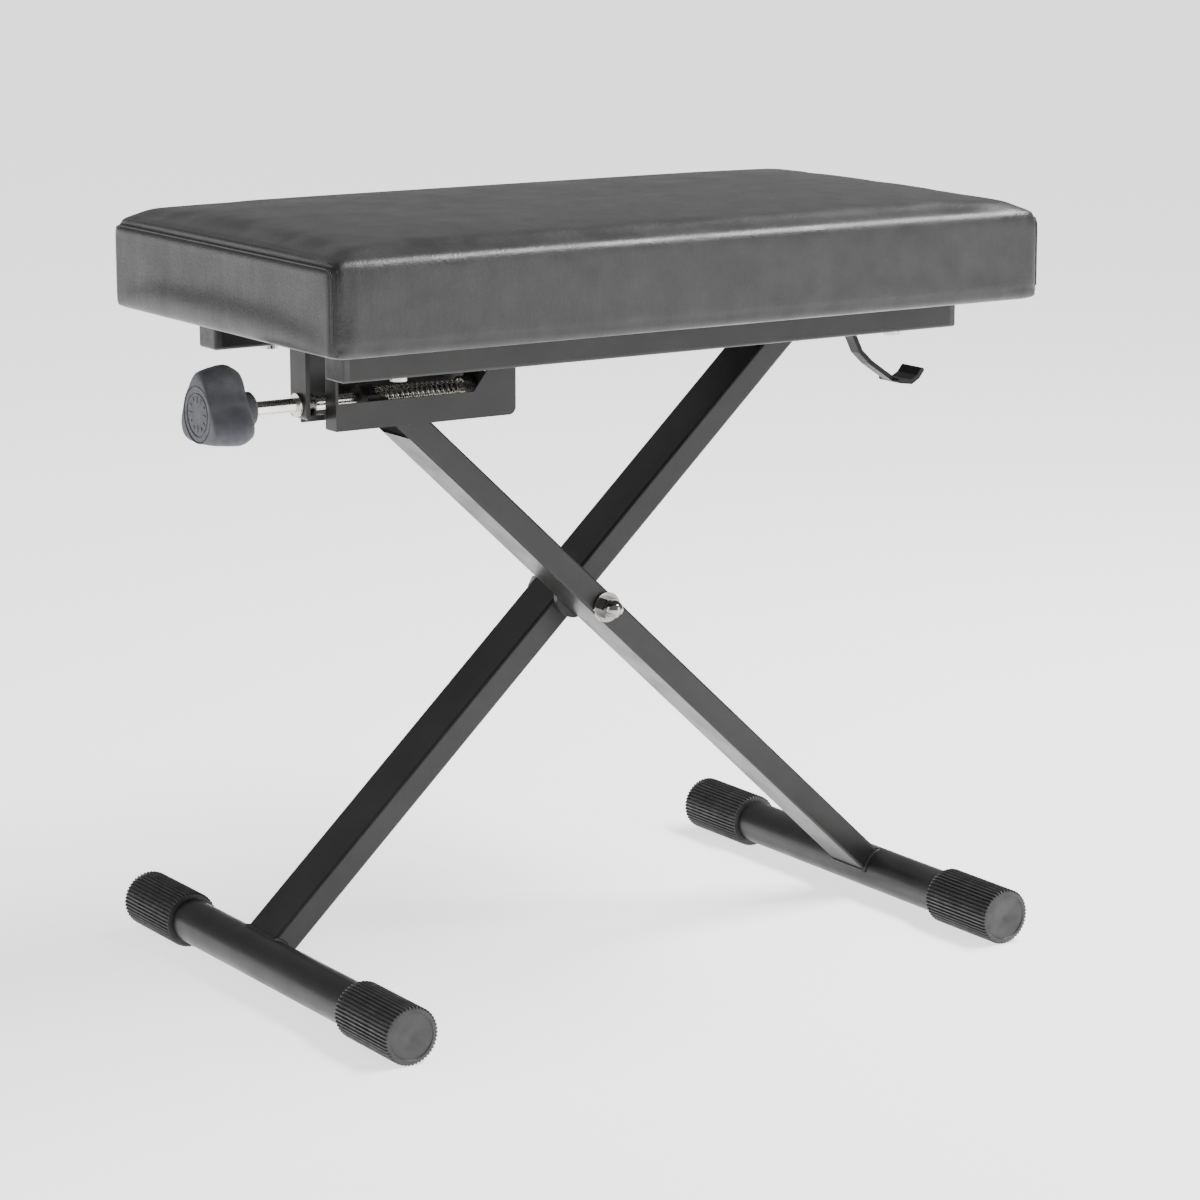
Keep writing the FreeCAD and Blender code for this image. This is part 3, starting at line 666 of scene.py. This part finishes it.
face = knob_low.x
back = knob_high.x - 0.008
bm = bmesh.new()
stack = [(back + 0.008, 0.0045, 0.0045), (back + 0.008, 0.0098, 0.0098), (back + 0.0068, 0.011, 0.011),
         (back + 0.0004, 0.0112, 0.0112), (back, 0.0125, 0.012), (back, 0.0222, 0.0135),
         (back - 0.001, 0.0242, 0.0146), (back - 0.0035, 0.0262, 0.0154), (back - 0.0075, 0.0286, 0.0163),
         (back - 0.0105, 0.0294, 0.0168), (back - 0.0145, 0.0292, 0.0172), (face + 0.0075, 0.0279, 0.0177),
         (face + 0.0035, 0.0268, 0.0181), (face + 0.0014, 0.0258, 0.0183), (face + 0.0004, 0.0244, 0.0183),
         (face, 0.0222, 0.0181), (face, 0.0179, 0.0178), (face + 0.0009, 0.0176, 0.0176),
         (face + 0.0009, 0.0172, 0.0172), (face + 0.0002, 0.0168, 0.0168), (face + 0.0002, 0.0142, 0.0142),
         (face + 0.0008, 0.0138, 0.0138), (face + 0.0008, 0.0128, 0.0128), (face + 0.0003, 0.0125, 0.0125),
         (face + 0.0003, 0.004, 0.004)]
along_x = Matrix.Translation((0, shaft.y, shaft.z)) @ Matrix.Rotation(math.pi / 2, 4, "Y")
drawn_shell(bm, 120, stack, lobed, along_x)
knob = finish_piece(bm, "lobed_knob", "spindle", grip, crisp=38)
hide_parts("knob", "knob_disc")

# %% Marks on the knob's face
bm = bmesh.new()
for number in range(12):
    long_mark = number % 3 == 0
    size = Matrix.Diagonal((0.0009, 0.0011, 0.0042 if long_mark else 0.0024, 1))
    out = Matrix.Translation((0, 0, 0.0112 - (0.0021 if long_mark else 0.0012)))
    turn = Matrix.Rotation(math.tau * number / 12, 4, "X")
    place = Matrix.Translation((face + 0.0003, shaft.y, shaft.z)) @ turn @ out @ size
    bmesh.ops.create_cube(bm, size=1.0, matrix=place)
bmesh.ops.bevel(bm, geom=bm.edges[:], offset=0.0002, segments=2, profile=0.5, affect="EDGES", material=-1)
finish_piece(bm, "knob_marks", "spindle", grip)

# %% [markdown]
# ## Weld beads
# The legs are welded to the round foot tubes. A bead is a strand that follows the line where the leg
# meets the tube. That line is found by casting the leg's outline down onto the tube.

# %% Weld beads
LEG_ANGLE = math.radians(43.1)
LEG_THICK = 0.0176


def weld(name, leg, foot, body, lean):
    low, high = corners(foot)
    centre = (low + high) / 2
    leg_low, leg_high = corners(leg)
    down = Vector((lean * math.cos(LEG_ANGLE), 0, -math.sin(LEG_ANGLE)))
    across = Vector((0, 1, 0)).cross(down).normalized()
    tree = BVHTree.FromObject(frame["nodes"][foot], bpy.context.evaluated_depsgraph_get())
    wide, thick = (leg_high.y - leg_low.y) / 2, LEG_THICK / 2
    mid = Vector((centre.x, (leg_high.y + leg_low.y) / 2, centre.z)) - down * 0.05
    outline = [(-1, -1), (1, -1), (1, 1), (-1, 1), (-1, -1)]
    line = []
    for (a, b), (c, d) in zip(outline, outline[1:]):
        for step in range(12):
            t = step / 12
            start = mid + across * thick * (a + (c - a) * t) + Vector((0, wide * (b + (d - b) * t), 0))
            hit = tree.ray_cast(start, down)[0]
            if hit:
                line.append(hit + Vector((noise.noise(hit * 900), noise.noise(hit * 700), 0)) * 0.0003)
    line.append(line[0].copy())
    tube(name, line, 0.0016, powder, body)


weld("right_foot_weld", "front_leg", "right_foot_tube", "front_frame", 1)
weld("left_foot_weld", "rear_leg", "left_foot_tube", "rear_frame", -1)

# %% [markdown]
# ## Spindle spring
# A compression spring sits round the screw. A small circle spun about the screw's axis with a shift
# at each step makes a helix. The spring is a piece on its own, not attached to any body.

# %% Spindle spring
low, high = corners("spindle_spring")
axis = (low + high) / 2
WIRE = 0.0017
TURNS = 17
STEPS = 22
coil_radius = (high.z - low.z) / 2 - WIRE / 2
bm = bmesh.new()
first_turn = Matrix.Translation((low.x + WIRE / 2, axis.y, axis.z + coil_radius))
start = first_turn @ Matrix.Rotation(math.pi / 2, 4, "X")
wire = bmesh.ops.create_circle(bm, segments=8, radius=WIRE / 2, cap_ends=False, matrix=start)
edges = list({e for v in wire["verts"] for e in v.link_edges})
run = (high.x - low.x - WIRE) / (TURNS * STEPS)
bmesh.ops.spin(bm, geom=wire["verts"] + edges, axis=(1, 0, 0), cent=axis, dvec=(run, 0, 0),
               angle=math.tau * TURNS, steps=TURNS * STEPS, use_duplicate=False)
bmesh.ops.holes_fill(bm, edges=[e for e in bm.edges if e.is_boundary], sides=8)
spring = finish_piece(bm, "coil_spring", None, zinc, crisp=60)
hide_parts("spindle_spring")
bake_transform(spring)
